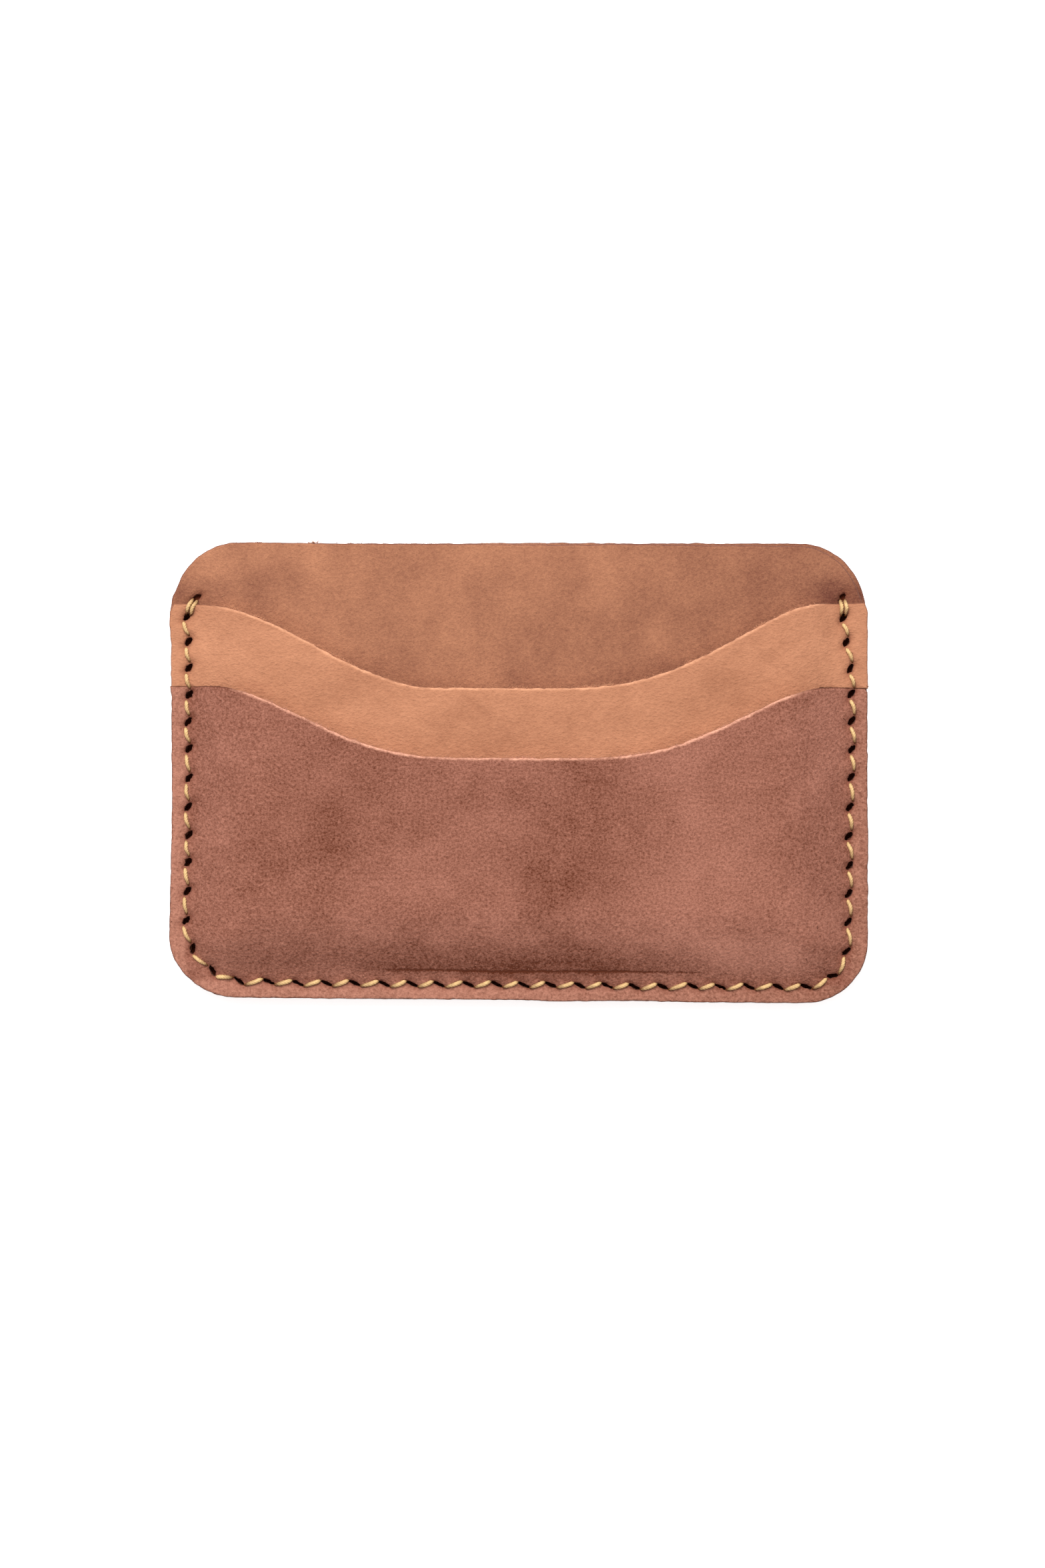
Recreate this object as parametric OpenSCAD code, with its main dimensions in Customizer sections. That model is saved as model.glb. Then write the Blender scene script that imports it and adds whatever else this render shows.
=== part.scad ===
// Slim hand-sewn leather card holder with two scooped pockets and an open centre slot.
// It lies on its back: X runs across it, Y towards the slot mouths and Z up through the
// layers. The origin is the centre of its footprint, on the face that it rests on.
// All sizes are in millimetres.

/* [Holder] */
// Width of the holder, side to side
holder_w = 98; // [94:1:106]
// Height of the two full panels, bottom edge to top edge
holder_h = 64; // [62:1:72]
// Radius of the top corners
top_corner_r = 9; // [3:0.5:9.5]
// Radius of the bottom corners
bottom_corner_r = 8.5; // [7:0.5:10]

/* [Leather] */
// Thickness of each piece of leather
leather_t = 1.2; // [1:0.1:1.4]
// Room that each slot has for a card, which is 0.76 thick
slot_play = 0.8; // [0.8:0.1:1]

/* [Middle pocket] */
// Height of its shoulders above the bottom edge
middle_shoulder_y = 56; // [52:1:56]
// Depth of its scooped mouth
middle_scoop = 12; // [6:1:14]
// Distance of its hidden body from the side edges
body_side_inset = 6.8; // [5:0.2:8]
// Distance of its hidden body from the bottom edge
body_bottom_inset = 5; // [5:0.2:5.6]

/* [Front pocket] */
// Height of its shoulders above the bottom edge
front_shoulder_y = 44; // [38:1:46]
// Depth of its scooped mouth
front_scoop = 10; // [6:1:14]

/* [Stitching] */
// Distance of the stitch line from the outer edges
seam_inset = 2.4; // [2.2:0.1:2.5]
// Height of the first and last holes above the bottom edge
seam_top_y = 57.2; // [56.8:0.1:57.6]
// Distance from one stitch hole to the next
stitch_pitch = 3.95; // [3.8:0.05:4.4]
// Diameter of the waxed thread
thread_d = 0.6; // [0.5:0.05:0.6]

/* [Hidden] */

// Underside of each layer where the layers are sewn together
centre_z = leather_t;
pocket_z = 2 * leather_t;
stack_z = 3 * leather_t;

// The scooped mouths: level at the shoulders, then two tangent arcs down to a level middle
scoop_inner_x = 9;
scoop_outer_x = 43;
scoop_inner_share = 0.62;
scoop_steps = 10;

// Where each layer lifts off the one behind it, as distances from the outer edge
front_lift = [3.4, 10];
middle_lift = [5, 12];
centre_lift = [5, 9];
first_bottom_lift = [body_bottom_inset, 7];
second_bottom_lift = [9.5, 12.5];
lift_steps = 6;

// Row of holes that holds the bottom end of the middle pocket to the centre panel
pocket_seam_y = 8;
pocket_seam_half = 38;

// Slanted stitch holes: pointed at both ends, with one strand at each end
slit_angle = -45;
slit_half_l = 1.05;
slit_half_w = 0.36;
slit_shoulder = 0.8;
strand_offset = 0.6;

// Channel in the rear panel that keeps the back stitches off the rest face
groove_half_w = 0.95;
groove_depth = 0.72;

thread_sides = 6;
thread_gap = 0.02;
thread_bend = 0.32;
corner_steps = 10;
body_corner_r = 5;
// The lifts start this much further in at the two bottom corners, clear of the thread
corner_ease = 0.4;
margin = 2;

// --- Outlines, with y measured from the bottom edge ---

function arc(centre, r, from, to) =
    [for (i = [0:corner_steps])
        let (a = from + (to - from) * i / corner_steps)
        centre + r * [cos(a), sin(a)]];

function mirrored(points) =
    [for (i = [len(points) - 1:-1:0]) [-points[i].x, points[i].y]];

// Share of the scoop's depth that the mouth has climbed, for u from 0 (middle) to 1 (shoulder).
// The slope angle where the two arcs meet follows from the scoop's width and depth.
function scoop_climb(u, w, depth) =
    let (
        meet = 2 * atan(depth / w),
        r_in = scoop_inner_share * w / sin(meet),
        r_out = (1 - scoop_inner_share) * w / sin(meet)
    )
    u < scoop_inner_share
        ? r_in - sqrt(r_in * r_in - u * w * u * w)
        : depth - r_out + sqrt(r_out * r_out - (1 - u) * w * (1 - u) * w);

// Right half of a pocket's mouth, from the middle out to the shoulder
function half_mouth(shoulder_y, depth) =
    let (w = scoop_outer_x - scoop_inner_x)
    [for (i = [0:scoop_steps])
        let (u = i / scoop_steps)
        [scoop_inner_x + u * w, shoulder_y - depth + scoop_climb(u, w, depth)]];

module mirror_outline(right_half) {
    polygon(concat(right_half, mirrored(right_half)));
}

// The two bottom corners share this arc, which runs up from the bottom edge
function bottom_corner(inset) =
    arc([holder_w / 2 - bottom_corner_r, bottom_corner_r], bottom_corner_r - inset, -90, 0);

module full_outline() {
    mirror_outline(concat(
        bottom_corner(0),
        arc([holder_w / 2 - top_corner_r, holder_h - top_corner_r], top_corner_r, 0, 90)
    ));
}

module front_outline() {
    mouth = half_mouth(front_shoulder_y, front_scoop);
    mirror_outline(concat(
        bottom_corner(0),
        [[holder_w / 2, front_shoulder_y]],
        [for (i = [len(mouth) - 1:-1:0]) mouth[i]]
    ));
}

// T-shaped: wide tabs above the front pocket's shoulders, a narrower body below them
module middle_outline() {
    body_x = holder_w / 2 - body_side_inset;
    mouth = half_mouth(middle_shoulder_y, middle_scoop);
    mirror_outline(concat(
        arc([body_x - body_corner_r, body_bottom_inset + body_corner_r], body_corner_r, -90, 0),
        [
            [body_x, front_shoulder_y],
            [holder_w / 2, front_shoulder_y],
            [holder_w / 2, middle_shoulder_y]
        ],
        [for (i = [len(mouth) - 1:-1:0]) mouth[i]]
    ));
}

// --- Formed sheets: flat along the seams, lifted by the room for cards inside them ---

// Points [distance, height] of a lift that starts steeply and levels out
function lift_points(span, from_z, to_z) =
    [for (i = [0:lift_steps])
        let (u = i / lift_steps)
        [span[0] + (span[1] - span[0]) * u, from_z + (to_z - from_z) * sin(90 * u)]];

// Everything under a surface that is lifted in from both sides, from the bottom edge
// and from the two bottom corners
module under_surface(side, bottom, edge) {
    low = side[0].y - margin - edge;
    side_z = side[0].y;
    high_z = side[len(side) - 1].y;
    half_w = holder_w / 2;
    right = concat(
        [[half_w + edge, low], [half_w + edge, side_z]],
        [for (p = side) [half_w - p.x, p.y]]
    );
    corner_shift = (sqrt(2) - 1) * bottom_corner_r + corner_ease;
    intersection() {
        rotate([90, 0, 0])
            linear_extrude(4 * holder_h, center = true)
                mirror_outline(right);
        rotate([90, 0, 90])
            linear_extrude(4 * holder_w, center = true)
                polygon(concat(
                    [[-edge, low], [-edge, side_z]],
                    bottom,
                    [[holder_h + edge, high_z], [holder_h + edge, low]]
                ));
        intersection_for (flip = [0, 1])
            mirror([flip, 0, 0])
                translate([-half_w, 0, 0])
                    rotate([0, 0, 45])
                        rotate([90, 0, 0])
                            linear_extrude(4 * holder_w, center = true)
                                polygon(concat(
                                    [[-2 * holder_w, low], [-2 * holder_w, side_z]],
                                    [for (p = side) [p.x + corner_shift, p.y]],
                                    [[2 * holder_w, high_z], [2 * holder_w, low]]
                                ));
    }
}

function raised(points, dz) = [for (p = points) [p.x, p.y + dz]];

// One leather thickness, measured straight up from the surface under it
module formed_sheet(side, bottom) {
    intersection() {
        linear_extrude(2 * (stack_z + 3 * slot_play))
            children();
        difference() {
            under_surface(raised(side, leather_t), raised(bottom, leather_t), margin);
            under_surface(side, bottom, 2 * margin);
        }
    }
}

// --- Stitch line: down the left side, along the bottom and up the right side ---

seam_r = bottom_corner_r - seam_inset;
side_run = seam_top_y - bottom_corner_r;
corner_run = PI / 2 * seam_r;
bottom_run = holder_w - 2 * bottom_corner_r;
seam_run = 2 * side_run + 2 * corner_run + bottom_run;
seam_stitches = round(seam_run / stitch_pitch);
pocket_stitches = round(2 * pocket_seam_half / stitch_pitch);

// [x, y, heading in degrees] at a distance along the first half of the stitch line
function seam_first_half(s) =
    s < side_run
        ? [seam_inset - holder_w / 2, seam_top_y - s, -90]
    : s < side_run + corner_run
        ? let (turn = (s - side_run) / seam_r * 180 / PI)
          [
              bottom_corner_r - holder_w / 2 - seam_r * cos(turn),
              bottom_corner_r - seam_r * sin(turn),
              turn - 90
          ]
    : [bottom_corner_r - holder_w / 2 + s - side_run - corner_run, seam_inset, 0];

function seam_hole(k) =
    let (
        s = seam_run * k / seam_stitches,
        h = seam_first_half(min(s, seam_run - s))
    )
    s <= seam_run / 2 ? h : [-h.x, h.y, -h.z];

function pocket_hole(k) =
    [pocket_seam_half * (2 * k / pocket_stitches - 1), pocket_seam_y, 0];

module slit(hole) {
    translate([hole.x, hole.y, -margin])
        rotate([0, 0, hole.z + slit_angle])
            linear_extrude(4 * stack_z)
                polygon([
                    [-slit_half_l, 0],
                    [-slit_shoulder, -slit_half_w],
                    [slit_shoulder, -slit_half_w],
                    [slit_half_l, 0],
                    [slit_shoulder, slit_half_w],
                    [-slit_shoulder, slit_half_w]
                ]);
}

module seam_slits() {
    for (k = [0:seam_stitches])
        slit(seam_hole(k));
}

module pocket_slits() {
    for (k = [0:pocket_stitches])
        slit(pocket_hole(k));
}

module groove() {
    outer = seam_inset - groove_half_w;
    inner = seam_inset + groove_half_w;
    end_y = seam_top_y + groove_half_w;
    translate([0, 0, -margin])
        linear_extrude(margin + groove_depth)
            difference() {
                mirror_outline(concat(bottom_corner(outer), [[holder_w / 2 - outer, end_y]]));
                mirror_outline(concat(bottom_corner(inner), [[holder_w / 2 - inner, end_y + margin]]));
            }
}

// --- Saddle stitch: two strands of one thread, joined at the first hole ---

// One pass of a strand through a hole: [x, y, low z, high z, going up, outward heading]
function pass(hole, end, low, high, up) =
    let (a = hole.z + slit_angle)
    [
        hole.x + end * strand_offset * cos(a),
        hole.y + end * strand_offset * sin(a),
        low, high, up, hole.z - 90
    ];

function step_towards(from, to) =
    let (d = [to[0] - from[0], to[1] - from[1]])
    [from[0], from[1]] + thread_bend * d / norm(d);

// Four points of a pass, with its two bends cut at 45 degrees
function pass_points(before, p, after) =
    let (
        enter = step_towards(p, before),
        leave = step_towards(p, after),
        low_in = p[4] ? enter : leave,
        high_out = p[4] ? leave : enter,
        rising = [
            [low_in.x, low_in.y, p[2]],
            [p[0], p[1], p[2] + thread_bend],
            [p[0], p[1], p[3] - thread_bend],
            [high_out.x, high_out.y, p[3]]
        ]
    )
    p[4] ? rising : [for (i = [3:-1:0]) rising[i]];

function unit(v) = v / norm(v);

function ring(centre, along, outward) =
    let (
        u = unit(outward - (outward * along) * along),
        v = cross(along, u)
    )
    [for (j = [0:thread_sides - 1])
        let (a = 360 * j / thread_sides)
        centre + thread_d / 2 * (cos(a) * u + sin(a) * v)];

// A closed tube along the points, each of which has its own outward heading
module tube(points, headings) {
    last = len(points) - 1;
    rings = [for (i = [0:last])
        ring(
            points[i],
            unit(points[min(i + 1, last)] - points[max(i - 1, 0)]),
            [cos(headings[i]), sin(headings[i]), 0]
        )];
    n = thread_sides;
    polyhedron(
        points = [for (r = rings) each r],
        faces = concat(
            [[for (j = [0:n - 1]) j]],
            [for (i = [0:last - 1], j = [0:n - 1])
                each [
                    [i * n + j, (i + 1) * n + j, (i + 1) * n + (j + 1) % n],
                    [i * n + j, (i + 1) * n + (j + 1) % n, i * n + (j + 1) % n]
                ]],
            [[for (j = [n - 1:-1:0]) last * n + j]]
        )
    );
}

// Whether a strand goes up through hole k, in the thread's own direction
function rises(k) = k % 2 == 0;

// The thread runs back along one strand to the first hole and then out along the other.
// Each hole holds one strand at its inner end (-1) and one at its outer end (1).
function back_ends(last) =
    [for (k = [rises(last) ? last : last - 1:-1:1]) [k, rises(k) ? -1 : 1]];

function out_ends(last) =
    [for (k = [0:rises(last) ? last - 1 : last]) [k, rises(k) ? 1 : -1]];

// One strand ends in the last hole, where its last bend is dropped. The other ends on the
// back beside that hole, at the tail.
module saddle_stitch(passes, tail, tail_first) {
    count = len(passes);
    bends = [for (i = [0:count - 1])
        each pass_points(
            i == 0 ? tail : passes[i - 1],
            passes[i],
            i == count - 1 ? tail : passes[i + 1]
        )];
    bend_headings = [for (p = passes, i = [0:3]) p[5]];
    tail_point = [[tail[0], tail[1], tail[2]]];
    first = tail_first ? 0 : 1;
    kept = [first:first + len(bends) - 2];
    run = [for (i = kept) bends[i]];
    headings = [for (i = kept) bend_headings[i]];
    tube(
        tail_first ? concat(tail_point, run) : concat(run, tail_point),
        tail_first ? concat(tail[5], headings) : concat(headings, tail[5])
    );
}

// --- The pieces ---

module rear_panel() {
    color("#B57A5E")
        translate([0, -holder_h / 2, 0])
            difference() {
                linear_extrude(leather_t) full_outline();
                seam_slits();
                groove();
            }
}

module centre_panel() {
    color("#B97B5F")
        translate([0, -holder_h / 2, 0])
            difference() {
                formed_sheet(
                    lift_points(centre_lift, centre_z, centre_z + slot_play),
                    lift_points(first_bottom_lift, centre_z, centre_z + slot_play)
                )
                    full_outline();
                seam_slits();
                pocket_slits();
            }
}

module middle_pocket() {
    color("#CE8E6B")
        translate([0, -holder_h / 2, 0])
            difference() {
                formed_sheet(
                    lift_points(middle_lift, pocket_z, pocket_z + 2 * slot_play),
                    concat(
                        lift_points(first_bottom_lift, pocket_z, pocket_z + slot_play),
                        lift_points(second_bottom_lift, pocket_z + slot_play, pocket_z + 2 * slot_play)
                    )
                )
                    middle_outline();
                seam_slits();
                pocket_slits();
            }
}

module front_pocket() {
    lift = lift_points(front_lift, pocket_z, stack_z + 3 * slot_play);
    color("#A26551")
        translate([0, -holder_h / 2, 0])
            difference() {
                formed_sheet(lift, lift) front_outline();
                seam_slits();
            }
}

function seam_pass(k, end) =
    pass(
        seam_hole(k),
        end,
        thread_d / 2 + thread_gap,
        stack_z + thread_d / 2 + thread_gap,
        rises(k)
    );

module seam_thread() {
    last = seam_stitches;
    color("#E8C98A")
        translate([0, -holder_h / 2, 0])
            saddle_stitch(
                [for (e = concat(back_ends(last), out_ends(last))) seam_pass(e[0], e[1])],
                seam_pass(last, 1),
                !rises(last)
            );
}

function pocket_pass(k, end) =
    pass(
        pocket_hole(k),
        end,
        centre_z + slot_play - thread_d / 2 - thread_gap,
        stack_z + slot_play + thread_d / 2 + thread_gap,
        rises(k)
    );

module pocket_thread() {
    last = pocket_stitches;
    color("#E8C98A")
        translate([0, -holder_h / 2, 0])
            saddle_stitch(
                [for (e = concat(back_ends(last), out_ends(last))) pocket_pass(e[0], e[1])],
                pocket_pass(last, 1),
                !rises(last)
            );
}

rear_panel();
centre_panel();
middle_pocket();
front_pocket();
seam_thread();
pocket_thread();
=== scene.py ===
import math

import bpy
import numpy as np
from mathutils.geometry import delaunay_2d_cdt
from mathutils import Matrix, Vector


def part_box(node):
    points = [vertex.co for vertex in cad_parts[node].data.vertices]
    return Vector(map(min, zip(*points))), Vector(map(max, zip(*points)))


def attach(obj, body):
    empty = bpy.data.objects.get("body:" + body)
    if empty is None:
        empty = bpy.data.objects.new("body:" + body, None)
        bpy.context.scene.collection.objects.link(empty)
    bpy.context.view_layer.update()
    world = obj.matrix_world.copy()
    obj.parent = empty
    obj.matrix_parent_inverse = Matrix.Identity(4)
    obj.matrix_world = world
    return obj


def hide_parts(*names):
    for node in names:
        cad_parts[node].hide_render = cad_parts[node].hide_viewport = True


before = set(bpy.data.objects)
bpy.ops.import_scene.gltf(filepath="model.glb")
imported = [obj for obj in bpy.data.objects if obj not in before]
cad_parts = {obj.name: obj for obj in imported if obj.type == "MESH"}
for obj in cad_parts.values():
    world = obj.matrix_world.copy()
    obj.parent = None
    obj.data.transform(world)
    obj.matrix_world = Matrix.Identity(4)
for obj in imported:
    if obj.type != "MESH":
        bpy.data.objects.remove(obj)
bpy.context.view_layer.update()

# Lengths are in millimetres until a mesh is made. Y is "up" the holder, from its bottom edge.
MM = 0.001


def box_mm(node):
    low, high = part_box(node)
    return np.array(low) / MM, np.array(high) / MM


REAR_LOW, REAR_HIGH = box_mm("rear_panel")
MIDDLE_LOW, MIDDLE_HIGH = box_mm("middle_pocket")
FRONT_HIGH = box_mm("front_pocket")[1]
WIDTH, HEIGHT, LEATHER = REAR_HIGH - REAR_LOW
HALF_W = WIDTH / 2
PLAY = (FRONT_HIGH[2] - 4 * LEATHER) / 3  # the room for cards in each slot

# Levels above the floor where the leather lies flat on itself, in the seams
CENTRE_Z = LEATHER
POCKET_Z = 2 * LEATHER
STACK_Z = 3 * LEATHER

# The outline, hand cut. Where a value has two sides, -1 is the left and 1 the right.
TOP_CORNER = {-1: 9.0, 1: 9.8}
BOTTOM_CORNER = 8.9
SECOND_EDGE = 0.5  # how far the centre panel's top right corner lies inside the rear panel's
EDGE_ROUND = 0.2
MOUTH_ROUND = 0.3
OUTLINE_STEP = 0.36

# The pockets. The middle one is a T: its tabs are sewn in, and its body hangs inside the seams.
FRONT_SHOULDER = FRONT_HIGH[1] + HEIGHT / 2
MIDDLE_SHOULDER = MIDDLE_HIGH[1] + HEIGHT / 2
TAB_FOOT = FRONT_SHOULDER - 0.12
MIDDLE_MOUTH_HALF = 47
BODY_BOTTOM = MIDDLE_LOW[1] + HEIGHT / 2
BODY_HALF = HALF_W - 6.8
BODY_CORNER = 5.0
CREASE_UP = 4.15
CREASE_X = (-24, 29)

# The side and bottom seam
STITCHES = 50
SHORT_STITCH = 0.83
SEAM_TOP_UP = 56.5
BOTTOM_INSET = 2.2
SEAM_CORNER = {-1: 8.7, 1: 6.5}
GROOVE_DEPTH = 0.62

# The hidden seam
POCKET_STITCHES = 19
POCKET_SEAM_UP = 8.0
POCKET_SEAM_HALF = 38.0

# The slits and the thread. Both slant, and more so on the sides.
SLANT = 24
SLANT_MORE = 14
HOLE_HALF_LENGTH = 0.98
HOLE_HALF_WIDTH = 0.27
# painted shade: how much darker the top face is painted round each slit
SLIT_SHADE = 0.42
STRAND_AHEAD = 0.86
STRAND_OUT = 0.4
DOUBLE_APART = 0.32
THREAD_R = 0.32
POCKET_THREAD_R = 0.27
POCKET_BACK_R = 0.24
BACK_SHARE = 0.85
TWIST_PITCH = 1.1
PLY_OUT = 0.32
PLY_R = 0.7
PLY_SIDES = 7

# How closely the leather is meshed
GRID = 0.8
FINE_GRID = 0.36
FINE_BY_SEAM = 1.9
FINE_BY_EDGE = 5
SLIT_REACH = 1.6

# Painted shade: the dark colour of the slit walls and rims, standing in for the shade inside the
# stitch holes
HOLE_SHADE_COLOUR = (0.14, 0.026, 0.008, 1)

rng = np.random.default_rng(11)


# --- Small helpers ---

def smooth(value, start=0.0, end=1.0):
    u = np.clip((np.asarray(value, float) - start) / (end - start), 0, 1)
    return u * u * (3 - 2 * u)


def bell(distance, width):
    return np.exp(-(np.asarray(distance) / width) ** 2)


def field(x, y, size, seed):
    """Smooth noise from -1 to 1, whose lumps are about that size."""
    cells = np.random.default_rng(seed).uniform(-1, 1, (256, 256))
    gx = np.asarray(x, float) / size + 97.3
    gy = np.asarray(y, float) / size + 61.7
    ix, iy = np.floor(gx).astype(int), np.floor(gy).astype(int)
    u, v = smooth(gx - ix), smooth(gy - iy)

    def cell(i, j):
        return cells[i % 256, j % 256]

    return ((cell(ix, iy) * (1 - u) + cell(ix + 1, iy) * u) * (1 - v)
            + (cell(ix, iy + 1) * (1 - u) + cell(ix + 1, iy + 1) * u) * v)


def layered(x, y, size, seed, layers=3):
    total, weight = 0, 0
    for i in range(layers):
        total = total + field(x, y, size / 2 ** i, seed + i) / 2 ** i
        weight += 1 / 2 ** i
    return total / weight


# --- Distances and heights ---

def edge_distance(x, up):
    """Distance in from the sides, the bottom edge and its corners. The top is open."""
    side = HALF_W - np.abs(x)
    r = BOTTOM_CORNER
    in_corner = (side < r) & (up < r)
    corner = r - np.hypot(np.minimum(side - r, 0), np.minimum(up - r, 0))
    sharp = np.minimum(side, up)
    soft = 3.0
    h = np.clip(0.5 + 0.5 * (up - side) / soft, 0, 1)
    blended = up * (1 - h) + side * h - soft * h * (1 - h)
    deep = smooth(sharp, r - 2, r + 2)
    return np.where(in_corner, corner, sharp * (1 - deep) + blended * deep)


def lifted(distance, start, end):
    """From 0 to 1 between those distances: a soft bend, a slope, then a long levelling out."""
    knee = 0.8
    d = distance - start
    ramp = 0.5 * (d + np.sqrt(d * d + knee * knee))
    zero = 0.5 * (-start + math.hypot(start, knee))
    return np.sin(np.pi / 2 * np.clip((ramp - zero) / (end - start), 0, 1))


def centre_under(x, up):
    return CENTRE_Z + PLAY * lifted(edge_distance(x, up), 5, 9.5)


def middle_under(x, up):
    side = lifted(HALF_W - np.abs(x), 5, 12)
    first = lifted(up, 5, 7)
    second = lifted(up, 9.5, 12.5)
    return POCKET_Z + 2 * PLAY * np.minimum(side, 0.5 * first + 0.5 * second)


def front_under(x, up):
    return POCKET_Z + (LEATHER + 3 * PLAY) * lifted(edge_distance(x, up), 3.4, 13.5)


def full_thickness(x, up):
    return LEATHER + 0 * x


def middle_thickness(x, up):
    """The hidden body of the middle pocket is pared thin towards its edges."""
    inside_body = np.minimum(BODY_HALF - np.abs(x), up - BODY_BOTTOM)
    hidden = 1 - smooth(up, FRONT_SHOULDER - 10, FRONT_SHOULDER - 2)
    return LEATHER * (1 - 0.65 * hidden * (1 - smooth(inside_body, 0, 6)))


# --- The stitch line ---

def seam_inset(up, side):
    """How far in from the side the stitches run."""
    if side < 0:
        return 2.4 + 1.0 * smooth(up, 53.5, 57)
    return 2.3 + 1.2 * smooth(up, 44, 55) + 0.5 * (1 - smooth(up, 12, 40))


def seam_side(side):
    """The stitch line from the top hole down one side and round its corner."""
    r = SEAM_CORNER[side]
    ups = np.arange(SEAM_TOP_UP, BOTTOM_INSET + r, -0.1)
    line = [(side * (HALF_W - seam_inset(u, side)), u) for u in ups]
    x_low = line[-1][0]
    centre = (x_low - side * r, BOTTOM_INSET + r)
    for turn in np.linspace(0, np.pi / 2, 60)[1:]:
        line.append((centre[0] + side * r * math.cos(turn), centre[1] - r * math.sin(turn)))
    return line


def seam_line():
    left, right = seam_side(-1), seam_side(1)
    between = [(x, BOTTOM_INSET) for x in np.arange(left[-1][0] + 0.1, right[-1][0], 0.1)]
    return np.array(left + between + right[::-1])


def stitch_holes(line, count):
    """Holes [x, up, heading] along the line: shorter stitches at both ends, none exactly alike."""
    run = np.concatenate([[0], np.cumsum(np.hypot(*np.diff(line, axis=0).T))])
    k = np.arange(count)
    ends = np.minimum(k, count - 1 - k)
    lengths = 1 - (1 - SHORT_STITCH) * np.exp(-(ends / 3.0) ** 2)
    lengths *= 1 + 0.028 * rng.standard_normal(count)
    lengths[[0, -1]] *= 0.84
    at = np.concatenate([[0], np.cumsum(lengths)])
    at *= run[-1] / at[-1]
    x, up = np.interp(at, run, line[:, 0]), np.interp(at, run, line[:, 1])
    ahead = np.interp(at + 0.8, run, line[:, 0]) - np.interp(at - 0.8, run, line[:, 0])
    rise = np.interp(at + 0.8, run, line[:, 1]) - np.interp(at - 0.8, run, line[:, 1])
    x += 0.05 * rng.standard_normal(count + 1)
    up += 0.05 * rng.standard_normal(count + 1)
    return np.column_stack([x, up, np.arctan2(rise, ahead)])


def pocket_holes():
    """The holes of the hidden seam: evenly spaced on a straight line."""
    x = np.linspace(-POCKET_SEAM_HALF, POCKET_SEAM_HALF, POCKET_STITCHES + 1)
    return np.column_stack([x, np.full(len(x), POCKET_SEAM_UP), np.zeros(len(x))])


SEAM = seam_line()
SEAM_HOLES = stitch_holes(SEAM, STITCHES)
POCKET_HOLES = pocket_holes()


def slant(hole):
    """Direction of the slanted slit: steeper across the side seams than along the bottom."""
    side = abs(math.sin(hole[2]))
    angle = hole[2] - math.radians(SLANT + SLANT_MORE * side)
    return np.array([math.cos(angle), math.sin(angle)])


def seam_distance(x, up):
    """Distance from the stitch line, positive towards the outer edge."""
    out = np.full(np.shape(x), 99.0)
    for px, pu in SEAM[::4]:
        out = np.minimum(out, np.hypot(x - px, up - pu))
    outer_rim = 2.35
    return np.where(np.minimum(HALF_W - np.abs(x), up) < outer_rim, out, -out)


def slit_depth(x, up):
    """1 in the slits, falling to about 0 a millimetre and a half away."""
    half, width = 0.75, 0.66
    most = 0 * x
    for hole in SEAM_HOLES:
        d = slant(hole)
        rx, ru = x - hole[0], up - hole[1]
        along = np.clip(rx * d[0] + ru * d[1], -half, half)
        most = np.maximum(most, bell(np.hypot(rx - along * d[0], ru - along * d[1]), width))
    return most


def dimples(x, up):
    """How far the thread pulls the leather down round its holes and along the line."""
    deepest = 0.42
    line = 0.12 * bell(seam_distance(x, up), 0.8)
    return np.minimum(line + 0.34 * slit_depth(x, up), deepest)


# --- Shapes of the pieces, seen from above ---

class Mouth:
    """A scooped mouth: its level at the tabs, its depth, and for each half where its climb
    starts and ends and how late it climbs."""

    def __init__(self, shoulder, depth, left, right):
        self.shoulder, self.depth, self.left, self.right = shoulder, depth, left, right

    def up(self, x):
        start, end, lean = self.left if x < 0 else self.right
        u = np.clip((abs(x) - start) / (end - start), 0, 1) ** lean
        return self.shoulder - self.depth * (1 - float(smooth(u)))


MIDDLE_MOUTH = Mouth(MIDDLE_SHOULDER - 0.3, depth=11.9,
                     left=(12, 45.5, 1.0), right=(2, 43, 1.6))
FRONT_MOUTH = Mouth(FRONT_SHOULDER, depth=10.0, left=(5.5, 43, 1.5), right=(6, 43.5, 1.5))


def arc(cx, cy, r, start, end):
    steps = max(4, int(r * abs(end - start) / OUTLINE_STEP))
    return [(cx + r * math.cos(a), cy + r * math.sin(a)) for a in np.linspace(start, end, steps)]


def bottom_arcs():
    """From the left side round the bottom to the right side."""
    r, quarter = BOTTOM_CORNER, np.pi / 2
    return (arc(-HALF_W + r, r, r, np.pi, np.pi + quarter)
            + arc(HALF_W - r, r, r, -quarter, 0))


def full_outline(tighter=0.0):
    """A full panel. A tighter one has its top right corner pulled in."""
    r = TOP_CORNER[1]
    right = arc(HALF_W - r - tighter, HEIGHT - r - tighter, r, 0, np.pi / 2)
    r = TOP_CORNER[-1]
    left = arc(-HALF_W + r, HEIGHT - r, r, np.pi / 2, np.pi)
    return bottom_arcs() + right + left


def mouth_points(mouth, half):
    return [(x, mouth.up(x)) for x in np.arange(half, -half - 0.01, -OUTLINE_STEP)]


def front_outline():
    """The front pocket, with the corners of its shoulders a little worn."""
    reach = FRONT_MOUTH.right[1]
    corner = [(HALF_W, FRONT_SHOULDER - 0.6), (HALF_W - 0.4, FRONT_SHOULDER),
              (reach + 0.3, FRONT_SHOULDER)]
    last = [(-reach - 0.3, FRONT_SHOULDER), (-HALF_W - 0.25, FRONT_SHOULDER),
            (-HALF_W, FRONT_SHOULDER - 1.4)]
    return bottom_arcs() + corner + mouth_points(FRONT_MOUTH, reach) + last


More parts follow.
